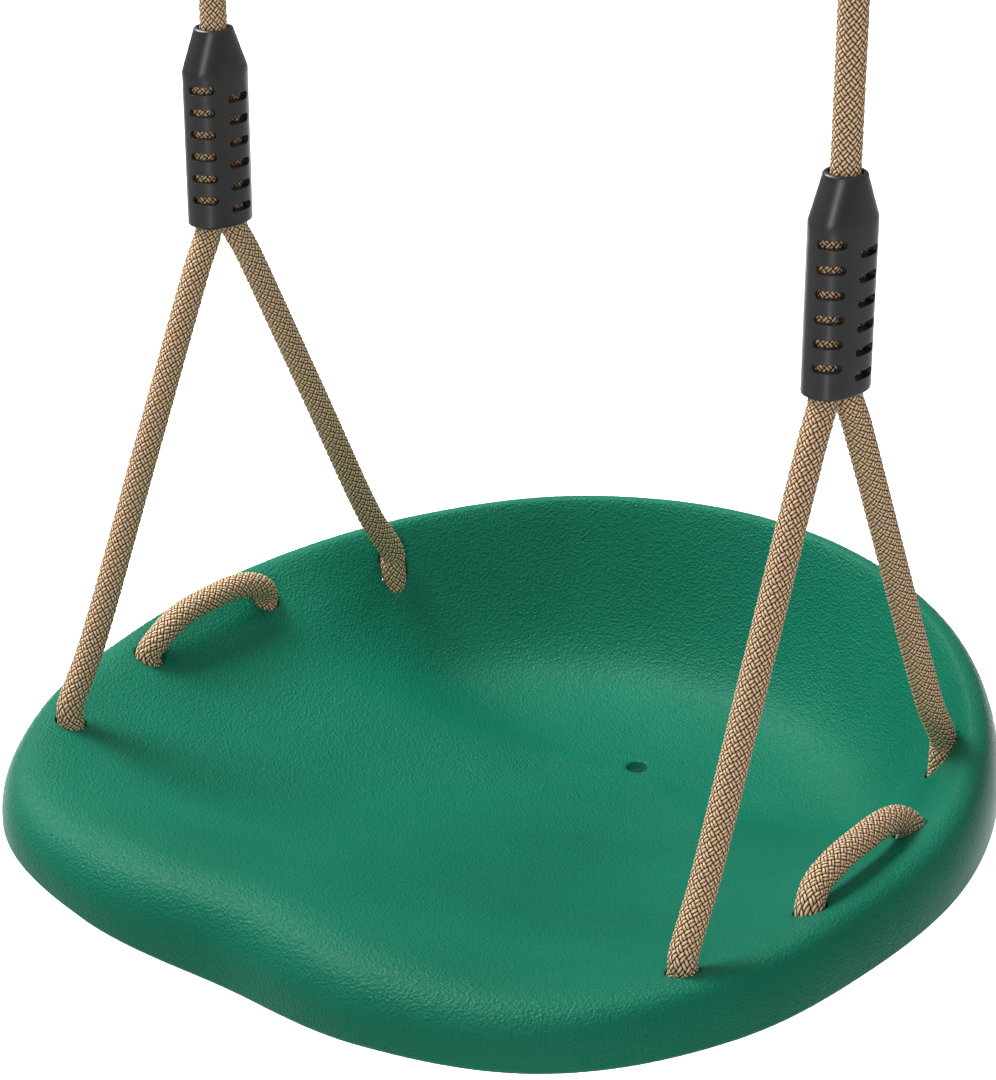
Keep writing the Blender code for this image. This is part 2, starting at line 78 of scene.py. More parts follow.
SLOT_ROWS = 4
SLOTS_IN_ROW = 6
SLOT_PITCH = 0.0097
SLOT_WIDTH = 0.011
SLOT_HEIGHT = 0.0036
SLOT_FIRST = 0.0245             # from the sleeve's top to the first slot of the front row
SLOT_TURN = math.radians(15)    # of the front row, from straight ahead towards +X
SLOT_FLOOR = (0.0085, 0.0045)   # how near the middle the end rows and the side rows reach
SLOT_STEPS = 24

THIMBLE_Z = COLLAR_TOP + 0.026
THIMBLE_BORE_R = 0.008
THIMBLE_WALL = 0.0013
THIMBLE_GROOVE_R = ROPE_R + 0.0006
THIMBLE_STEPS = 96
EYE_R = 0.0178                  # of the rope's centre line round the thimble

# Quick links. Apart from LOW_WIRE_Z, heights are above the centre of the lower bow's wire.
WIRE_R = 0.005
LOW_WIRE_Z = THIMBLE_Z + THIMBLE_BORE_R - WIRE_R - GAP
LINK_WIDTH = 0.041
LINK_HEIGHT = 0.089
NUT_BOTTOM = 0.0281
NUT_LENGTH = 0.029
NUT_FLATS = 0.015
NUT_BORE_R = 0.00545
NUT_CHAMFER = 0.0011
NUT_STEPS = 72
UPPER_TIP = 0.0532              # where the upper limb ends, inside the nut
LOWER_TIP = 0.0448
TIP_SHARE = 0.8                 # of the wire's radius that is left at its tips
SHOULDER_R = 0.0067             # of the stop above the nut
SHOULDER = 0.0028
THREAD_PITCH = 0.0015
THREAD_DEPTH = 0.0005
WIRE_STEPS = 48
WIRE_SPACING = 0.00025

# Seat: degrees round from the front, crest radius and height, outer edge radius and height.
RIM = (
    (0, 0.160, -0.001, 0.181, -0.033),
    (22, 0.176, -0.002, 0.199, -0.028),
    (42, 0.200, -0.003, 0.216, -0.024),
    (62, 0.201, 0.000, 0.213, -0.023),
    (82, 0.194, 0.004, 0.206, -0.021),
    (104, 0.196, 0.009, 0.208, -0.018),
    (128, 0.199, 0.018, 0.212, -0.013),
    (152, 0.202, 0.027, 0.217, -0.007),
    (180, 0.204, 0.031, 0.219, -0.003),
)
BOWL = Vector((0.0, 0.097, -0.054))     # the deepest point, at the drain hole
FLOOR_ROUND = 0.12              # share of the way to the crest over which the floor levels out
FRONT_FOOT = (0.30, 0.45)       # where the side starts to rise, and how softly, at the front
BACK_FOOT = (0.62, 0.12)        # the same at the back
CREST_ROUND = 0.07              # share of the side's height over which the crest levels out
STEEP_FROM = 80.0               # degrees from the front where the side starts to get steeper
STEEP_TO = 125.0                # and where it is as steep as at the back
ROLL_POWER = 2.5                # squareness of the rolled rim
LIP_R = 0.0025                  # how far the rounded lip hangs below the rim's outer edge

# The wall is 1.2 mm thicker than the CAD's and the rope holes 1 mm narrower, so that no light
# shows past the ropes.
WALL = 0.0062
ROPE_HOLES = ((0.1640, -0.1000), (0.1790, -0.0350), (0.1775, 0.0410), (0.1535, 0.1065))
ROPE_HOLE_R = 0.0070
DRAIN_R = 0.005
HOLE_EDGE = 0.0006              # roundness of each hole's mouth
HOLE_STEPS = 40
DRILL_LENGTH = 0.03             # how far a drill reaches above and below the surface

SEAT_STEPS = 288
BOWL_RINGS = 64
BOWL_START = 0.03               # share of the way to the crest where the first ring lies
ROLL_RINGS = 22
LIP_RINGS = 8

HOLE_DEPTHS = (0.0085, 0.0085, 0.0105, 0.0185)  # how far down the rope runs straight
LOOP_RISE = {"left": 0.0140, "right": 0.0115}   # of the rope between its middle holes
UNDER_DROP = 0.0080             # of the rope below those depths, between two holes
UNDER_BOW = 0.0060              # how far it bows outward there

BRAID_STRANDS = 10              # wound each way
BRAID_PITCH = 0.0041            # along the rope, from one strand to the next
BRAID_DEPTH = 0.0006            # from the strands' tops to the gaps between them
ROPE_STEPS = 72
ROPE_SPACING = 0.0006


# ---- camera -------------------------------------------------------------------------------
CAMERA_AZIMUTH = math.radians(38.35)
CAMERA_ELEVATION = math.radians(24.58)
CAMERA_DISTANCE = 1.352
CAMERA_TARGET = Vector((-0.0083, 0.0046, 0.0914 + DATUM_Z))
CAMERA_LENS = 115.95


def make_camera():
    away = Vector((math.sin(CAMERA_AZIMUTH) * math.cos(CAMERA_ELEVATION),
                   -math.cos(CAMERA_AZIMUTH) * math.cos(CAMERA_ELEVATION),
                   math.sin(CAMERA_ELEVATION)))
    lens = bpy.data.cameras.new("camera")
    lens.sensor_fit = "HORIZONTAL"
    lens.sensor_width = 36.0
    lens.lens = CAMERA_LENS
    lens.clip_end = 20.0
    camera = bpy.data.objects.new("camera", lens)
    bpy.context.scene.collection.objects.link(camera)
    camera.location = CAMERA_TARGET + away * CAMERA_DISTANCE
    camera.rotation_euler = away.to_track_quat("Z", "Y").to_euler()
    bpy.context.scene.camera = camera


# ---- mesh helpers -------------------------------------------------------------------------
def link_object(name, mesh):
    obj = bpy.data.objects.new(name, mesh)
    bpy.context.scene.collection.objects.link(obj)
    return obj


def mesh_object(name, points, faces, sharp=40.0):
    """A smooth-shaded object from points in metres, with its normals facing out."""
    mesh = bpy.data.meshes.new(name)
    mesh.from_pydata([tuple(p) for p in points], [], faces)
    whole = bmesh.new()
    whole.from_mesh(mesh)
    bmesh.ops.recalc_face_normals(whole, faces=whole.faces)
    whole.to_mesh(mesh)
    whole.free()
    mesh.shade_smooth()
    mesh.set_sharp_from_angle(angle=math.radians(sharp))
    return link_object(name, mesh)


def ring_faces(rings, steps, closed=False):
    faces = []
    for ring in range(rings if closed else rings - 1):
        above = (ring + 1) % rings
        for k in range(steps):
            turn = (k + 1) % steps
            faces.append((ring * steps + k, ring * steps + turn,
                          above * steps + turn, above * steps + k))
    return faces


def cut(obj, cutter):
    """Takes the cutter's shape out of obj and deletes the cutter."""
    modifier = obj.modifiers.new("cut", "BOOLEAN")
    modifier.operation = "DIFFERENCE"
    modifier.solver = "EXACT"
    modifier.object = cutter
    graph = bpy.context.evaluated_depsgraph_get()
    mesh = bpy.data.meshes.new_from_object(obj.evaluated_get(graph))
    obj.modifiers.clear()
    obj.data = mesh
    bpy.data.objects.remove(cutter, do_unlink=True)


def smooth_line(route, spacing):
    """Points about spacing apart on a centripetal Catmull-Rom curve through the route."""
    route = [Vector(p) for p in route]
    ends = [route[0] * 2 - route[1], *route, route[-1] * 2 - route[-2]]
    line = []
    for p0, p1, p2, p3 in zip(ends, ends[1:], ends[2:], ends[3:]):
        t1 = (p1 - p0).length ** 0.5
        t2 = t1 + (p2 - p1).length ** 0.5
        t3 = t2 + (p3 - p2).length ** 0.5
        steps = max(1, round((p2 - p1).length / spacing))
        for k in range(steps):
            t = t1 + (t2 - t1) * k / steps
            a1 = p0 * ((t1 - t) / t1) + p1 * (t / t1)
            a2 = p1 * ((t2 - t) / (t2 - t1)) + p2 * ((t - t1) / (t2 - t1))
            a3 = p2 * ((t3 - t) / (t3 - t2)) + p3 * ((t - t2) / (t3 - t2))
            b1 = a1 * ((t2 - t) / t2) + a2 * (t / t2)
            b2 = a2 * ((t3 - t) / (t3 - t1)) + a3 * ((t - t1) / (t3 - t1))
            line.append(b1 * ((t2 - t) / (t2 - t1)) + b2 * ((t - t1) / (t2 - t1)))
    return line + [route[-1]]


# ---- node helpers -------------------------------------------------------------------------
def new_material(name):
    made = bpy.data.materials.new(name)
    made.use_nodes = True
    return made, made.node_tree, made.node_tree.nodes["Principled BSDF"]


def math_node(tree, operation, first, second=None):
    """One Math node; each input is a number or another node's output."""
    node = tree.nodes.new("ShaderNodeMath")
    node.operation = operation
    for socket, value in zip(node.inputs, (first, second)):
        if isinstance(value, bpy.types.NodeSocket):
            tree.links.new(value, socket)
        elif value is not None:
            socket.default_value = value
    return node.outputs[0]


def object_coordinates(tree, scale=1.0):
    coordinates = tree.nodes.new("ShaderNodeTexCoord")
    mapping = tree.nodes.new("ShaderNodeMapping")
    mapping.inputs["Scale"].default_value = (scale, scale, scale)
    tree.links.new(coordinates.outputs["Object"], mapping.inputs["Vector"])
    return mapping.outputs["Vector"]


def noise(tree, vector, scale, detail=2.0, roughness=0.5):
    node = tree.nodes.new("ShaderNodeTexNoise")
    node.inputs["Scale"].default_value = scale
    node.inputs["Detail"].default_value = detail
    node.inputs["Roughness"].default_value = roughness
    tree.links.new(vector, node.inputs["Vector"])
    return node


def ramp(tree, factor, *stops):
    """A colour ramp of (place, colour) stops."""
    node = tree.nodes.new("ShaderNodeValToRGB")
    while len(node.color_ramp.elements) < len(stops):
        node.color_ramp.elements.new(0.5)
    for element, (place, colour) in zip(node.color_ramp.elements, stops):
        element.position = place
        element.color = (*colour, 1.0)
    tree.links.new(factor, node.inputs["Fac"])
    return node.outputs["Color"]


def bump(tree, height, distance, strength=1.0, normal=None):
    node = tree.nodes.new("ShaderNodeBump")
    node.inputs["Strength"].default_value = strength
    node.inputs["Distance"].default_value = distance
    tree.links.new(height, node.inputs["Height"])
    if normal:
        tree.links.new(normal, node.inputs["Normal"])
    return node.outputs["Normal"]


# ---- materials ----------------------------------------------------------------------------
# Colours are linear.
SEAT_DARK = (0.0035, 0.170, 0.098)
SEAT_LIGHT = (0.0050, 0.200, 0.117)
GRAIN_SCALE = 900.0             # grains in a metre
# Rope colours by the braid's height: painted shade in the gaps between strands, the rope's own
# colour, and painted light on the strands' tops.
ROPE_PAINTED_GAP_SHADE = (0.030, 0.010, 0.003)
ROPE_MIDDLE = (0.62, 0.30, 0.13)
ROPE_PAINTED_TOP_LIGHT = (1.0, 0.74, 0.48)


def seat_material():
    """Moulded plastic with a fine wrinkled leather grain and a faintly uneven colour."""
    made, tree, shader = new_material("seat_plastic")
    place = object_coordinates(tree)
    drift = noise(tree, place, 14.0, 3.0)
    tree.links.new(ramp(tree, drift.outputs["Fac"], (0.3, SEAT_DARK), (0.7, SEAT_LIGHT)),
                   shader.inputs["Base Color"])
    warp = noise(tree, place, GRAIN_SCALE * 0.6, 2.0)
    warped = tree.nodes.new("ShaderNodeVectorMath")
    warped.operation = "MULTIPLY_ADD"
    warped.inputs[1].default_value = (0.0012, 0.0012, 0.0012)
    tree.links.new(warp.outputs["Color"], warped.inputs[0])
    tree.links.new(place, warped.inputs[2])
    cells = tree.nodes.new("ShaderNodeTexVoronoi")
    cells.feature = "SMOOTH_F1"
    cells.inputs["Scale"].default_value = GRAIN_SCALE
    cells.inputs["Smoothness"].default_value = 0.6
    tree.links.new(warped.outputs["Vector"], cells.inputs["Vector"])
    fine = noise(tree, place, GRAIN_SCALE * 1.3, 3.0, 0.6)
    height = math_node(tree, "ADD", cells.outputs["Distance"],
                       math_node(tree, "MULTIPLY", fine.outputs["Fac"], 0.7))
    tree.links.new(bump(tree, height, 0.0006, 0.8), shader.inputs["Normal"])
    patchy = math_node(tree, "MULTIPLY_ADD", drift.outputs["Fac"], 0.08)
    patchy.node.inputs[2].default_value = 0.34
    tree.links.new(patchy, shader.inputs["Roughness"])
    shader.inputs["Specular IOR Level"].default_value = 0.15
    return made


def rope_material():
    """A plain braid of paired yarns, drawn in the tube's own round-and-along coordinates; its colour
    has painted shade in the gaps between the strands and painted light on the strands' tops.
    """
    made, tree, shader = new_material("braided_rope")
    weave = tree.nodes.new("ShaderNodeUVMap")
    weave.uv_map = "weave"
    split = tree.nodes.new("ShaderNodeSeparateXYZ")
    tree.links.new(weave.outputs["UV"], split.inputs[0])
    one = math_node(tree, "ADD", split.outputs["X"], split.outputs["Y"])
    other = math_node(tree, "SUBTRACT", split.outputs["X"], split.outputs["Y"])
    cells = math_node(tree, "ADD", math_node(tree, "FLOOR", one), math_node(tree, "FLOOR", other))
    flip = math_node(tree, "FLOORED_MODULO", cells, 2.0)
    first = math_node(tree, "SUBTRACT", math_node(tree, "FRACT", one), 0.5)
    second = math_node(tree, "SUBTRACT", math_node(tree, "FRACT", other), 0.5)

    def pick(when_zero, when_one):
        gap = math_node(tree, "SUBTRACT", when_one, when_zero)
        return math_node(tree, "ADD", when_zero, math_node(tree, "MULTIPLY", gap, flip))

    across, along = pick(first, second), pick(second, first)
    doubled = math_node(tree, "ADD", math_node(tree, "MULTIPLY", across, 2.0), 1.0)
    yarn = math_node(tree, "SUBTRACT", math_node(tree, "FRACT", doubled), 0.5)
    yarn = math_node(tree, "MULTIPLY", yarn, 2.4)
    body = math_node(tree, "SUBTRACT", 1.0, math_node(tree, "MULTIPLY", yarn, yarn))
    body = math_node(tree, "SQRT", math_node(tree, "MAXIMUM", body, 0.0))
    arch = math_node(tree, "COSINE", math_node(tree, "MULTIPLY", along, math.pi * 0.94))
    height = math_node(tree, "MULTIPLY", body, math_node(tree, "POWER", arch, 0.5))
    fuzz = noise(tree, object_coordinates(tree), 3200.0, 2.0)
    shade = math_node(tree, "ADD", height,
                      math_node(tree, "MULTIPLY", fuzz.outputs["Fac"], 0.30))
    # The ramp paints shade into the gaps between the strands and light onto their tops.
    colour = ramp(tree, math_node(tree, "SUBTRACT", shade, 0.15),
                  (0.32, ROPE_PAINTED_GAP_SHADE), (0.50, ROPE_MIDDLE), (0.70, ROPE_PAINTED_TOP_LIGHT))
    tree.links.new(colour, shader.inputs["Base Color"])
    tree.links.new(bump(tree, height, 0.0006, 0.9), shader.inputs["Normal"])
    shader.inputs["Roughness"].default_value = 0.72
    shader.inputs["Specular IOR Level"].default_value = 0.25
    return made


def sleeve_material():
    """Charcoal moulded plastic with a soft sheen and slightly softened edges."""
    made, tree, shader = new_material("sleeve_plastic")
    place = object_coordinates(tree)
    drift = noise(tree, place, 60.0, 3.0)
    tree.links.new(ramp(tree, drift.outputs["Fac"], (0.35, (0.010, 0.010, 0.011)),
                        (0.65, (0.015, 0.014, 0.015))), shader.inputs["Base Color"])
    softened = tree.nodes.new("ShaderNodeBevel")
    softened.samples = 4
    softened.inputs["Radius"].default_value = 0.0004
    fine = noise(tree, place, 2200.0, 2.0)
    tree.links.new(bump(tree, fine.outputs["Fac"], 0.00006, 0.5, softened.outputs["Normal"]),
                   shader.inputs["Normal"])
    shader.inputs["Roughness"].default_value = 0.38
    shader.inputs["Specular IOR Level"].default_value = 0.8
    return made


def steel_material(name, roughness, tint):
    """Polished plating with faint haze and hairline scratches."""
    made, tree, shader = new_material(name)
    place = object_coordinates(tree)
    haze = noise(tree, place, 90.0, 4.0)
    tree.links.new(ramp(tree, haze.outputs["Fac"], (0.35, tuple(c * 0.93 for c in tint)),
                        (0.65, tint)), shader.inputs["Base Color"])
    rough = math_node(tree, "MULTIPLY_ADD", haze.outputs["Fac"], 0.08)
    rough.node.inputs[2].default_value = roughness
    tree.links.new(rough, shader.inputs["Roughness"])
    hair = noise(tree, place, 900.0, 3.0)
    tree.links.new(bump(tree, hair.outputs["Fac"], 0.00002, 0.25), shader.inputs["Normal"])
    shader.inputs["Metallic"].default_value = 1.0
    return made


# ---- seat ---------------------------------------------------------------------------------
def smoothstep(value):
    share = np.clip(value, 0.0, 1.0)
    return share * share * (3 - 2 * share)


def rim_at(degrees):
    """Crest radius and height, edge radius and height, by a cubic through the rim's rows."""
    angle = abs((degrees + 180.0) % 360.0 - 180.0)
    rows = [(-RIM[1][0], *RIM[1][1:]), *RIM, (360 - RIM[-2][0], *RIM[-2][1:])]
    for before, low, high, after in zip(rows, rows[1:], rows[2:], rows[3:]):
        if angle > high[0]:
            continue
        span = high[0] - low[0]
        t = (angle - low[0]) / span
        values = []
        for k in range(1, 5):
            slope_low = (high[k] - before[k]) / (high[0] - before[0]) * span
            slope_high = (after[k] - low[k]) / (after[0] - low[0]) * span
            values.append(low[k] * (1 + 2 * t) * (1 - t) ** 2 + high[k] * t * t * (3 - 2 * t)
                          + slope_low * t * (1 - t) ** 2 - slope_high * t * t * (1 - t))
        return values
    return list(RIM[-1][1:])


def at_angle(degrees, radius, height):
    turn = math.radians(degrees)
    return Vector((radius * math.sin(turn), -radius * math.cos(turn), height))


def eased(way, softness):
    """Goes up level at first, then in step with way."""
    return math.hypot(way, softness) - softness


def rise(share, degrees):
    """How far up the bowl's side is, from 0 at the bottom to 1 at the crest."""
    angle = abs((degrees + 180.0) % 360.0 - 180.0)
    steep = smoothstep((angle - STEEP_FROM) / (STEEP_TO - STEEP_FROM))
    foot, softness = (f + (b - f) * steep for f, b in zip(FRONT_FOOT, BACK_FOOT))

    def climb(way):
        way = eased(way, FLOOR_ROUND)
        return way - foot + math.hypot(way - foot, softness)

    left = (climb(1.0) - climb(share)) / (climb(1.0) - climb(0.0))
    return 1 - eased(left, CREST_ROUND) / eased(1, CREST_ROUND)


def bowl_point(share, degrees):
    crest = at_angle(degrees, *rim_at(degrees)[:2])
    point = BOWL.lerp(crest, share)
    point.z = BOWL.z + (crest.z - BOWL.z) * rise(share, degrees)
    return point


def bowl_normal(share, degrees):
    step = 0.01
    outward = bowl_point(share, degrees) - bowl_point(share - step, degrees)
    around = bowl_point(share, degrees + 1) - bowl_point(share, degrees - 1)
    return outward.cross(around).normalized()


def surface_at(x, y):
    """(share, degrees) of the seat's top over (x, y), by halving the range of degrees."""
    away = Vector((x - BOWL.x, y - BOWL.y))

    def ray_angle(degrees):
        crest = at_angle(degrees, rim_at(degrees)[0], 0.0)
        return math.atan2(crest.x - BOWL.x, -(crest.y - BOWL.y))

    want = math.atan2(away.x, -away.y)
    low, high = -180.0, 180.0
    for _ in range(40):
        middle = (low + high) / 2
        if ray_angle(middle) < want:
            low = middle
        else:
            high = middle
    crest = at_angle(low, rim_at(low)[0], 0.0)
    return away.length / Vector((crest.x - BOWL.x, crest.y - BOWL.y)).length, low


def surface_height(x, y):
    return bowl_point(*surface_at(x, y)).z


def roll_point(share, degrees):
    """On the rolled rim, from the crest at 0 to the outer edge at 1."""
    crest_r, crest_z, edge_r, edge_z = rim_at(degrees)
    turn = share * math.pi / 2
    out = math.sin(turn) ** (2 / ROLL_POWER)
    down = 1 - math.cos(turn) ** (2 / ROLL_POWER)
    return at_angle(degrees, crest_r + (edge_r - crest_r) * out,
                    crest_z + (edge_z - crest_z) * down)


def seat_rings():
    """Rings of points from the bowl's middle over the rim, round its lip and back underneath."""
    degrees = [360.0 * k / SEAT_STEPS - 180.0 for k in range(SEAT_STEPS)]
    shares = [1 - (1 - BOWL_START) * (1 - k / BOWL_RINGS) ** 1.3 for k in range(BOWL_RINGS + 1)]
    rolls = [math.sin(math.pi / 2 * k / ROLL_RINGS) for k in range(1, ROLL_RINGS + 1)]
    top = [[bowl_point(s, d) for d in degrees] for s in shares]
    roll = [[roll_point(s, d) for d in degrees] for s in rolls]
    edges = [rim_at(d) for d in degrees]
    lip = []
    for k in range(1, LIP_RINGS):
        turn = math.pi * k / LIP_RINGS
        inset = WALL / 2 * (1 - math.cos(turn))
        lip.append([at_angle(d, e[2] - inset, e[3] - LIP_R * math.sin(turn))
                    for d, e in zip(degrees, edges)])
    skirt = [at_angle(d, e[2] - WALL, 0.4 * e[1] + 0.6 * e[3] - 0.3 * WALL)
             for d, e in zip(degrees, edges)]
    shoulder = [roll_point(0.45, d) - at_angle(d, 0.5 * WALL, 0.85 * WALL) for d in degrees]
    crest = [bowl_point(1.0, d) - Vector((0, 0, WALL)) for d in degrees]
    under = [[bowl_point(s, d) - bowl_normal(s, d) * WALL for d in degrees]
             for s in reversed(shares[:-1:3])]
    return [*top, *roll, *lip, skirt, shoulder, crest, *under]


def hole_cutter(place, radius, normal):
    """A straight drill through the wall whose mouth flares to round the hole's edge."""
    flare = [(radius + HOLE_EDGE * (1 - math.cos(t)), HOLE_EDGE * (math.sin(t) - 1))
             for t in np.linspace(0, math.pi / 2, 5)]
    wide = radius + 3 * HOLE_EDGE
    profile = [(radius, -DRILL_LENGTH), *flare, (wide, 1.2 * HOLE_EDGE), (wide, DRILL_LENGTH)]
    points = []
    for reach, height in profile:
        for k in range(HOLE_STEPS):
            turn = 2 * math.pi * k / HOLE_STEPS
            x, y = reach * math.cos(turn), reach * math.sin(turn)
            slope = -(normal.x * x + normal.y * y) / normal.z
            points.append(place + Vector((x, y, height + slope)))
    top = (len(profile) - 1) * HOLE_STEPS
    faces = ring_faces(len(profile), HOLE_STEPS)
    faces += [tuple(range(HOLE_STEPS))[::-1], tuple(range(top, top + HOLE_STEPS))]
    return mesh_object("drill", points, faces)


def make_seat():
    rings = seat_rings()
    points = [p for ring in rings for p in ring]
    faces = ring_faces(len(rings), SEAT_STEPS)
    middle_top = len(points)
    points += [BOWL, BOWL - Vector((0, 0, WALL))]
    last = (len(rings) - 1) * SEAT_STEPS
    for k in range(SEAT_STEPS):
        turn = (k + 1) % SEAT_STEPS
        faces.append((k, turn, middle_top))
        faces.append((last + turn, last + k, middle_top + 1))
    datum = Vector((0, 0, DATUM_Z))
    seat = mesh_object("seat", [p + datum for p in points], faces, sharp=50.0)
    for side in SIDES.values():
        for x, y in ROPE_HOLES:
            spot = surface_at(side * x, y)
            cut(seat, hole_cutter(bowl_point(*spot) + datum, ROPE_HOLE_R, bowl_normal(*spot)))
    cut(seat, hole_cutter(BOWL + datum, DRAIN_R, Vector((0, 0, 1))))
    seat.data.materials.clear()
    seat.data.materials.append(seat_material())
    seat.data.shade_smooth()
    seat.data.set_sharp_from_angle(angle=math.radians(50.0))
    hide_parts("seat_shell")
    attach(seat, "seat")


# ---- ropes --------------------------------------------------------------------------------
def bridle_route(side_name):
    """Down the front leg, through the four holes of its side and up the back leg."""
    side = SIDES[side_name]
    hang = Vector((side * HANG_X, 0, 0))
    along = Matrix.Rotation(SLEEVE_TWIST, 3, "Z") @ Vector((0, STRAND, 0))
    holes = [Vector((side * x, y, surface_height(side * x, y))) for x, y in ROPE_HOLES]
    front, back = hang - along, hang + along
    up = Vector((0, 0, 1))
    depths = [hole - up * depth for hole, depth in zip(holes, HOLE_DEPTHS)]
    first, last = holes[0], holes[3]
    lean_front = (front + up * SLEEVE_BOTTOM - first).normalized()
    lean_back = (back + up * SLEEVE_BOTTOM - last).normalized()
    route = [front + up * (SLEEVE_TOP - TAPER - 0.002), front + up * (SLEEVE_BOTTOM + 0.02),
             front + up * (SLEEVE_BOTTOM - 0.001)]
    route += [first + lean_front * reach for reach in (0.205, 0.12, 0.035)]
    route += [first + up * 0.006, first]
    route += under_route(depths[0], depths[1])
    route += over_route(holes[1], holes[2], LOOP_RISE[side_name])
    route += under_route(depths[2], depths[3])
    route += [last, last + up * 0.006]
    route += [last + lean_back * reach for reach in (0.035, 0.12, 0.205)]
    route += [back + up * (SLEEVE_BOTTOM - 0.001), back + up * (SLEEVE_BOTTOM + 0.02),
              back + up * (SLEEVE_TOP - TAPER - 0.002)]
    return [p + up * DATUM_Z for p in route]


def under_route(start, end):
    """Below the seat from one hole to the next, bowed out between the bowl and the skirt."""
    drop = Vector((0, 0, -UNDER_DROP))
    out = Vector((start.x + end.x, start.y + end.y, 0)).normalized() * UNDER_BOW
    shares = ((0.22, 0.7), (0.5, 1.0), (0.78, 0.7))
    return [start, *(start.lerp(end, share) + drop + out * bow for share, bow in shares), end]


def over_route(start, end, height):
    """Above the seat between the two middle holes, arched clear of the rim beside them."""
    away = (start - end).normalized() * 0.001
    inward = Vector((-math.copysign(0.0018, start.x), 0, 0))
    lift = Vector((0, 0, height))
    shares = ((0.08, 0.56), (0.25, 0.92), (0.5, 1.0), (0.75, 0.92), (0.92, 0.56))
    arch = [start.lerp(end, share) + lift * up + inward for share, up in shares]
    return [start + away, *arch, end - away]


def main_route(side):
    """Up from the bridle sleeve's mouth, through the collar and round the thimble."""
    route = [(0, SLEEVE_TOP + 0.002), (0, SLEEVE_TOP + 0.04), (0, COLLAR_BOTTOM - 0.006),
             (0, COLLAR_BOTTOM + 0.007), (-STRAND, COLLAR_BOTTOM + 0.026),
             (-STRAND, COLLAR_TOP - 0.007), (-STRAND, COLLAR_TOP + 0.001)]
    route += [(EYE_R * math.cos(math.radians(a)), THIMBLE_Z + EYE_R * math.sin(math.radians(a)))
              for a in range(208, -29, -26)]
    route += [(STRAND, COLLAR_TOP + 0.001), (STRAND, COLLAR_TOP - 0.007),
              (STRAND, COLLAR_BOTTOM + 0.027)]
    return [Vector((side * HANG_X, y, z + DATUM_Z)) for y, z in route]


def braid_height(one, other):
    """Near 0 in the gaps and 1 on top; one and other count the strands of either hand."""
    first_on_top = np.mod(np.floor(one) + np.floor(other), 2.0) < 0.5
    first, second = np.mod(one, 1.0) - 0.5, np.mod(other, 1.0) - 0.5
    across = np.where(first_on_top, first, second)
    along = np.where(first_on_top, second, first)
    return np.cos(math.pi * 0.86 * along) * np.cos(math.pi * 0.60 * across)


def tube_mesh(name, centres, radius, first_side=None):
    """A capped tube, and its faces' ring and side numbers; radius has a row for each centre."""
    rings, steps = radius.shape
    tangents = np.gradient(centres, axis=0)
    tangents /= np.linalg.norm(tangents, axis=1)[:, None]
    side = np.zeros_like(centres)
    reference = Vector(first_side or Vector(tangents[0]).orthogonal().normalized())
    for k, tangent in enumerate(tangents):
        tangent = Vector(tangent)
        reference = (reference - tangent * reference.dot(tangent)).normalized()
        side[k] = reference
    other_side = np.cross(tangents, side)
    angle = 2 * math.pi * np.arange(steps) / steps
    points = (centres[:, None] + radius[..., None]
              * (side[:, None] * np.cos(angle)[None, :, None]
                 + other_side[:, None] * np.sin(angle)[None, :, None]))
    ring, k = np.meshgrid(np.arange(rings - 1), np.arange(steps), indexing="ij")
    turn = (k + 1) % steps
    faces = np.stack([ring * steps + k, ring * steps + turn,
                      (ring + 1) * steps + turn, (ring + 1) * steps + k], -1)
    ends = [list(range(steps))[::-1], list(range((rings - 1) * steps, rings * steps))]
    mesh = bpy.data.meshes.new(name)
    mesh.from_pydata(points.reshape(-1, 3), [], faces.reshape(-1, 4).tolist() + ends)
    mesh.shade_smooth()
    return mesh, ring, k


def travelled(centres):
    """Length along the line up to each of its points."""
    steps = np.linalg.norm(np.diff(centres, axis=0), axis=1)
    return np.concatenate([[0.0], np.cumsum(steps)])


def braided_tube(name, line, end_radii=None):
    """A tube along the line whose surface follows a braid, with the braid's counts as its UVs."""
    centres = np.array(line)
    travel = travelled(centres)
    turns = BRAID_STRANDS * np.arange(ROPE_STEPS) / ROPE_STEPS
    counts = travel[:, None] / BRAID_PITCH
    radius = ROPE_R - BRAID_DEPTH * (1 - braid_height(turns[None] + counts, turns[None] - counts))
    if end_radii is not None:
        radius = radius * end_radii[:, None]
    mesh, ring, k = tube_mesh(name, centres, radius)
    add_braid_uvs(mesh, ring, k, travel)
    obj = link_object(name, mesh)
    obj.data.materials.append(bpy.data.materials["braided_rope"])
    return obj


def add_braid_uvs(mesh, ring, k, travel):
    corner_turn = np.stack([k, k + 1, k + 1, k], -1).reshape(-1)
    corner_ring = np.stack([ring, ring, ring + 1, ring + 1], -1).reshape(-1)
    uvs = np.zeros((len(mesh.loops), 2), np.float32)
    count = len(corner_turn)
    uvs[:count, 0] = BRAID_STRANDS * corner_turn / ROPE_STEPS
    uvs[:count, 1] = travel[corner_ring] / BRAID_PITCH
    layer = mesh.uv_layers.new(name="weave")
    layer.data.foreach_set("uv", uvs.ravel())


def make_bridle_rope(side_name):
    line = smooth_line(bridle_route(side_name), ROPE_SPACING)
    rope = braided_tube(f"bridle_{side_name}", line)
    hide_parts(f"bridle_rope_{side_name}")
    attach(rope, "seat")


def make_main_rope(side_name):
    """The rope starts with a round end, about whose middle the sleeve's mouth can tip."""
    line = smooth_line(main_route(SIDES[side_name]), ROPE_SPACING)
    turn = Vector((SIDES[side_name] * HANG_X, 0, SLEEVE_TOP + DATUM_Z))
    ball = [math.radians(a) for a in range(88, -1, -8)]
    below = [turn - Vector((0, 0, ROPE_R * math.sin(a))) for a in ball]
    radii = np.array([math.cos(a) for a in ball] + [1.0] * len(line))
    rope = braided_tube(f"rope_{side_name}", below + line, radii)
    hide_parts(f"main_rope_{side_name}")
    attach(rope, "swing")


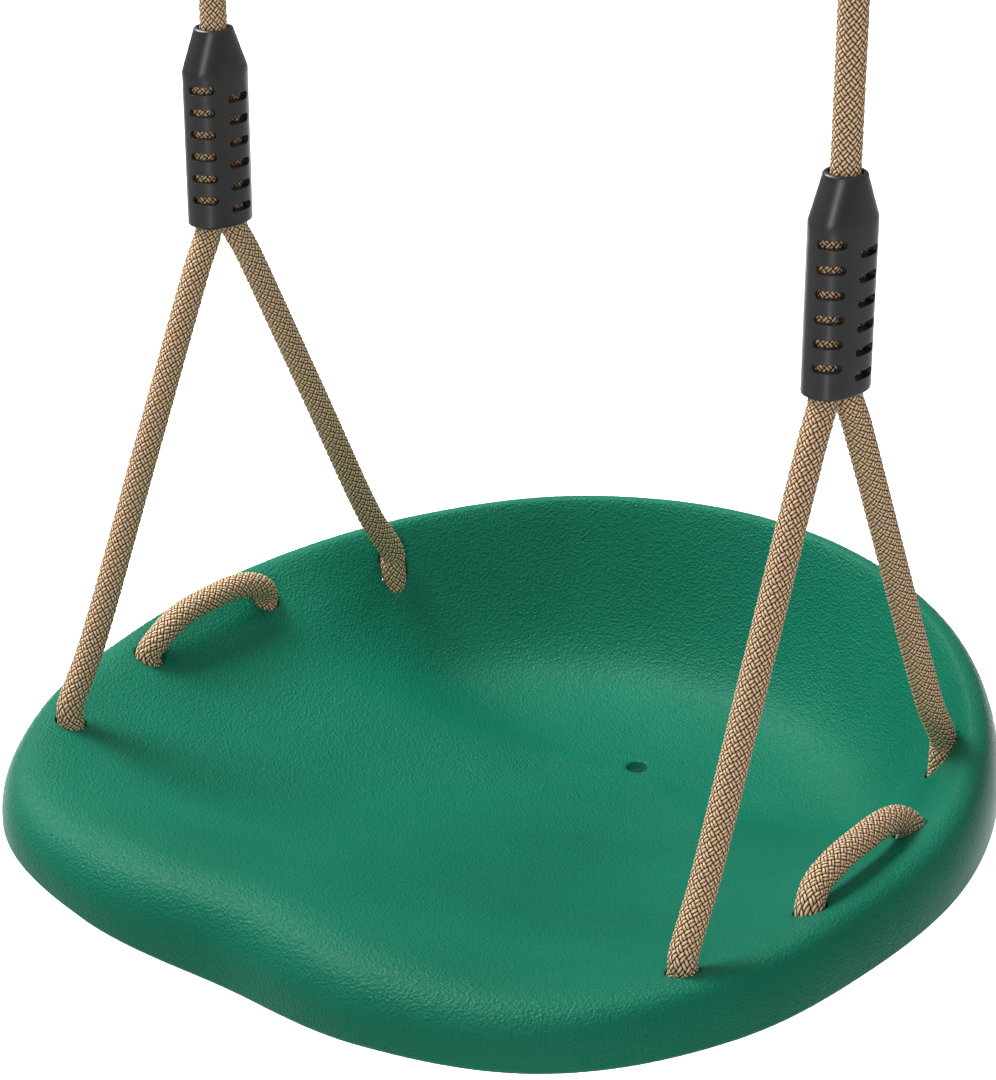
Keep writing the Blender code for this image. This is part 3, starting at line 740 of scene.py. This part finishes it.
# ---- sleeves, collars and thimbles --------------------------------------------------------
def oval(share):
    """The outline of the body, blended to the round mouth as share goes from 1 to 0."""
    turn = 2 * math.pi * np.arange(OVAL_STEPS) / OVAL_STEPS
    c, s = np.cos(turn), np.sin(turn)
    power = 2 / OVAL_POWER
    x = OVAL_SHORT * np.copysign(np.abs(s) ** power, s)
    y = OVAL_LONG * np.copysign(np.abs(c) ** power, c)
    return np.stack([x * share + MOUTH_R * s * (1 - share), y * share + MOUTH_R * c * (1 - share)], 1)


def cavity(share):
    """The outline round two strands side by side, blended to the round bore of the mouth."""
    turn = 2 * math.pi * (np.arange(OVAL_STEPS) + 0.5) / OVAL_STEPS
    c, s = np.cos(turn), np.sin(turn)
    y = CAVITY_R * c + np.copysign(STRAND, c)
    radius = MOUTH_BORE_R * (1 - share)
    return np.stack([CAVITY_R * s * share + s * radius, y * share + c * radius], 1)


def moulding(name, side, mouth, foot, twist):
    """A moulded body from its round mouth to its oval foot, with rounded edges at both."""
    way = math.copysign(1.0, foot - mouth)
    taper = mouth + way * TAPER
    edge = MOULDED_EDGE
    sections = []
    for turn in np.linspace(math.pi / 2, 0, 7):
        sections.append((oval(0.0) * (1 - edge / MOUTH_R * (1 - math.cos(turn))),
                         mouth + way * edge * (1 - math.sin(turn))))
    for share in np.linspace(0, 1, 13)[1:]:
        sections.append((oval(share), mouth + way * (edge + (TAPER - edge) * share)))
    for z in np.linspace(taper, foot - way * edge, 24)[1:]:
        sections.append((oval(1.0), z))
    for turn in np.linspace(0, math.pi / 2, 7)[1:]:
        sections.append((oval(1.0) * (1 - edge / OVAL_LONG * (1 - math.cos(turn))),
                         foot - way * edge * (1 - math.sin(turn))))
    sections += [(cavity(1.0), foot), (cavity(1.0), taper),
                 (cavity(0.0), mouth + way * (ROPE_R + 0.001)), (cavity(0.0), mouth)]
    spin = Matrix.Rotation(twist, 3, "Z")
    middle = Vector((side * HANG_X, 0, DATUM_Z))
    points = [middle + spin @ Vector((x, y, 0)) + Vector((0, 0, z))
              for ring, z in sections for x, y in ring]
    body = mesh_object(name, points, ring_faces(len(sections), OVAL_STEPS, closed=True), sharp=35.0)
    body.data.materials.append(bpy.data.materials["sleeve_plastic"])
    return body


def slot_cutter(middle, start, out):
    """An obround drill pointing along out, from start away from the middle."""
    half, radius = (SLOT_WIDTH - SLOT_HEIGHT) / 2, SLOT_HEIGHT / 2
    turns = [2 * math.pi * (k + 0.5) / SLOT_STEPS for k in range(SLOT_STEPS)]
    outline = [(math.copysign(half, math.cos(t)) + radius * math.cos(t), radius * math.sin(t))
               for t in turns]
    across = out.cross(Vector((0, 0, 1)))
    points = [middle + out * reach + across * a + Vector((0, 0, b))
              for reach in (start, 2 * OVAL_SHORT) for a, b in outline]
    faces = ring_faces(2, SLOT_STEPS)
    faces += [tuple(range(SLOT_STEPS))[::-1], tuple(range(SLOT_STEPS, 2 * SLOT_STEPS))]
    return points, faces


def make_sleeve(side_name):
    side = SIDES[side_name]
    body = moulding(f"grip_sleeve_{side_name}", side, SLEEVE_TOP, SLEEVE_BOTTOM, SLEEVE_TWIST)
    points, faces = [], []
    for row in range(SLOT_ROWS):
        turn = SLOT_TURN + math.radians(90 * row)
        out = Vector((math.sin(turn), -math.cos(turn), 0))
        for k in range(SLOTS_IN_ROW):
            z = SLEEVE_TOP - SLOT_FIRST - SLOT_PITCH * (k + 0.5 * (row % 2)) + DATUM_Z
            slot_points, slot_faces = slot_cutter(Vector((side * HANG_X, 0, z)),
                                                  SLOT_FLOOR[row % 2], out)
            faces += [tuple(len(points) + i for i in face) for face in slot_faces]
            points += slot_points
    cut(body, mesh_object("slots", points, faces))
    body.data.shade_smooth()
    body.data.set_sharp_from_angle(angle=math.radians(35.0))
    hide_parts(f"sleeve_{side_name}")
    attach(body, "seat")


def make_collar(side_name):
    body = moulding(f"collar_{side_name}", SIDES[side_name], COLLAR_BOTTOM, COLLAR_TOP, 0.0)
    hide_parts(f"eye_collar_{side_name}")
    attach(body, "swing")


def make_thimble(side_name):
    """A channel turned about X that the rope's eye lies in."""
    groove_r = THIMBLE_GROOVE_R
    back_r = groove_r + THIMBLE_WALL
    centre_r = THIMBLE_BORE_R + back_r
    flange = math.asin((EYE_R - centre_r) / groove_r)
    inner = [(groove_r * math.sin(t), EYE_R - groove_r * math.cos(t))
             for t in np.linspace(-math.pi / 2 + flange, math.pi / 2 - flange, 21)]
    outer = [(back_r * math.sin(t), centre_r - back_r * math.cos(t))
             for t in np.linspace(math.pi / 2, -math.pi / 2, 25)]
    profile = inner + outer
    middle = Vector((SIDES[side_name] * HANG_X, 0, THIMBLE_Z + DATUM_Z))
    points = []
    for k in range(THIMBLE_STEPS):
        turn = 2 * math.pi * k / THIMBLE_STEPS
        points += [middle + Vector((x, r * math.cos(turn), r * math.sin(turn))) for x, r in profile]
    body = mesh_object(f"rope_thimble_{side_name}", points,
                       ring_faces(THIMBLE_STEPS, len(profile), closed=True), sharp=60.0)
    body.data.materials.append(bpy.data.materials["sleeve_plastic"])
    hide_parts(f"thimble_{side_name}")
    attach(body, "swing")


# ---- quick links --------------------------------------------------------------------------
def thread_radius(heights, angles, start, end):
    """The wire's radius, with a thread cut into it between two heights."""
    wave = np.cos(2 * math.pi * heights[:, None] / THREAD_PITCH - angles[None])
    inside = ((heights > start) & (heights < end))[:, None]
    return WIRE_R - THREAD_DEPTH * inside * (0.5 - 0.5 * wave)


def make_link(side_name):
    """The wire of a quick link: lower limb, bows and plain limb, to its upper tip."""
    bow_r = LINK_WIDTH / 2 - WIRE_R
    low, high = bow_r, LINK_HEIGHT - 2 * WIRE_R - bow_r
    nut_top = NUT_BOTTOM + NUT_LENGTH
    lower = [(bow_r, z) for z in np.arange(LOWER_TIP, low, -WIRE_SPACING)]
    bend = np.linspace(0, math.pi, 73)
    bows = [(bow_r * math.cos(a), low - bow_r * math.sin(a)) for a in bend]
    bows += [(-bow_r * math.cos(a), high + bow_r * math.sin(a)) for a in bend]
    upper = [(bow_r, z) for z in np.arange(high, UPPER_TIP, -WIRE_SPACING)[1:]]
    route = lower + bows + upper
    hang = np.array([SIDES[side_name] * HANG_X, 0, LOW_WIRE_Z + DATUM_Z])
    centres = np.array([(x, 0.0, z) for x, z in route]) + hang
    heights = np.array([z for _, z in route])
    angles = 2 * math.pi * np.arange(WIRE_STEPS) / WIRE_STEPS
    nut_side = np.array([x > bow_r - 1e-6 for x, _ in route])
    limb_heights = np.where(nut_side, heights, 0.0)
    radius = thread_radius(limb_heights, angles, NUT_BOTTOM - 0.002, nut_top - 0.0005)
    shoulder = nut_side & (heights > nut_top + GAP) & (heights < nut_top + SHOULDER)
    radius[shoulder] = SHOULDER_R
    radius[[0, -1]] *= TIP_SHARE
    mesh, _, _ = tube_mesh(f"link_{side_name}", centres, radius, (1.0, 0.0, 0.0))
    mesh.set_sharp_from_angle(angle=math.radians(50.0))
    link = link_object(f"link_{side_name}", mesh)
    link.data.materials.append(bpy.data.materials["polished_steel"])
    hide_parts(f"quick_link_{side_name}")
    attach(link, "links")


def make_nut(side_name):
    """A long hexagonal nut with its corners turned off at both ends."""
    angles = 2 * math.pi * np.arange(NUT_STEPS) / NUT_STEPS
    flat = NUT_FLATS / 2 / np.cos(np.mod(angles, math.pi / 3) - math.pi / 6)
    corner = NUT_FLATS / math.sqrt(3)
    sections = []
    for depth in np.linspace(0, NUT_CHAMFER, 8):
        limit = corner - (NUT_CHAMFER - depth) * 1.5
        sections.append((np.minimum(flat, limit), depth))
    sections += [(radius, NUT_LENGTH - depth) for radius, depth in reversed(sections)]
    bore = np.full(NUT_STEPS, NUT_BORE_R)
    sections += [(bore + 0.0006, NUT_LENGTH), (bore, NUT_LENGTH - 0.0006), (bore, 0.0006),
                 (bore + 0.0006, 0.0)]
    foot = Vector((SIDES[side_name] * HANG_X + LINK_WIDTH / 2 - WIRE_R, 0,
                   LOW_WIRE_Z + NUT_BOTTOM + DATUM_Z))
    points = [foot + Vector((r * math.cos(a), r * math.sin(a), z))
              for radius, z in sections for r, a in zip(radius, angles)]
    nut = mesh_object(f"nut_{side_name}", points, ring_faces(len(sections), NUT_STEPS, closed=True),
                      sharp=25.0)
    nut.data.materials.append(bpy.data.materials["brushed_steel"])
    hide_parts(f"link_nut_{side_name}")
    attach(nut, f"nut_{side_name}")


# ---- floor and light ----------------------------------------------------------------------
FLOOR_DROP = 0.90               # from the seat's datum plane to the floor
HORIZON = 0.26                  # the sky's brightness
OVERHEAD = 0.45                 # and straight up


def make_floor():
    reach = 30.0
    z = DATUM_Z - FLOOR_DROP
    mesh = bpy.data.meshes.new("floor")
    corners = [(-reach, -reach, z), (reach, -reach, z), (reach, reach, z), (-reach, reach, z)]
    mesh.from_pydata(corners, [], [(0, 1, 2, 3)])
    floor = link_object("floor", mesh)
    made, _, shader = new_material("floor_white")
    shader.inputs["Base Color"].default_value = (0.80, 0.80, 0.80, 1.0)
    shader.inputs["Roughness"].default_value = 0.9
    shader.inputs["Specular IOR Level"].default_value = 0.0
    shader.inputs["Emission Color"].default_value = (1.0, 1.0, 1.0, 1.0)
    shader.inputs["Emission Strength"].default_value = 0.12
    floor.data.materials.append(made)


def area_light(name, place, aim, size, watts, spread=180):
    """A square soft light at place, above the seat's datum, shining at aim."""
    lamp = bpy.data.lights.new(name, "AREA")
    lamp.size = size
    lamp.energy = watts
    lamp.spread = math.radians(spread)
    light = bpy.data.objects.new(name, lamp)
    bpy.context.scene.collection.objects.link(light)
    light.location = Vector(place) + Vector((0, 0, DATUM_Z))
    light.rotation_euler = (Vector(place) - Vector(aim)).to_track_quat("Z", "Y").to_euler()


def make_sky():
    """Even white light that is brightest overhead and dim near the horizon."""
    world = bpy.data.worlds.new("studio")
    world.use_nodes = True
    tree = world.node_tree
    split = tree.nodes.new("ShaderNodeSeparateXYZ")
    tree.links.new(tree.nodes.new("ShaderNodeTexCoord").outputs["Generated"], split.inputs[0])
    shade = ramp(tree, split.outputs["Z"], (0.0, (HORIZON,) * 3), (1.0, (OVERHEAD,) * 3))
    tree.links.new(shade, tree.nodes["Background"].inputs["Color"])
    bpy.context.scene.world = world


def make_lights():
    make_sky()
    area_light("key", (-1.0, -0.03, 1.25), (0, 0, 0), 0.7, 28.0)
    area_light("front_strip", (0.55, -1.5, 0.75), (0, 0, 0.2), 0.35, 5.0)
    area_light("low_strip", (1.0, -1.15, -0.42), (0, 0, 0.25), 0.22, 1.6)
    area_light("backdrop", (-2.3, 2.9, 1.9), (-2.3, 2.9, 0), 4.6, 230.0, spread=50)
    bpy.context.scene.view_settings.view_transform = "Standard"


# ---- the whole scene ----------------------------------------------------------------------
make_camera()
rope_material()
sleeve_material()
steel_material("polished_steel", 0.07, (0.82, 0.82, 0.83))
steel_material("brushed_steel", 0.22, (0.62, 0.62, 0.63))
for side_name in SIDES:
    make_bridle_rope(side_name)
    make_main_rope(side_name)
    make_sleeve(side_name)
    make_collar(side_name)
    make_thimble(side_name)
    make_link(side_name)
    make_nut(side_name)
make_seat()
make_floor()
make_lights()
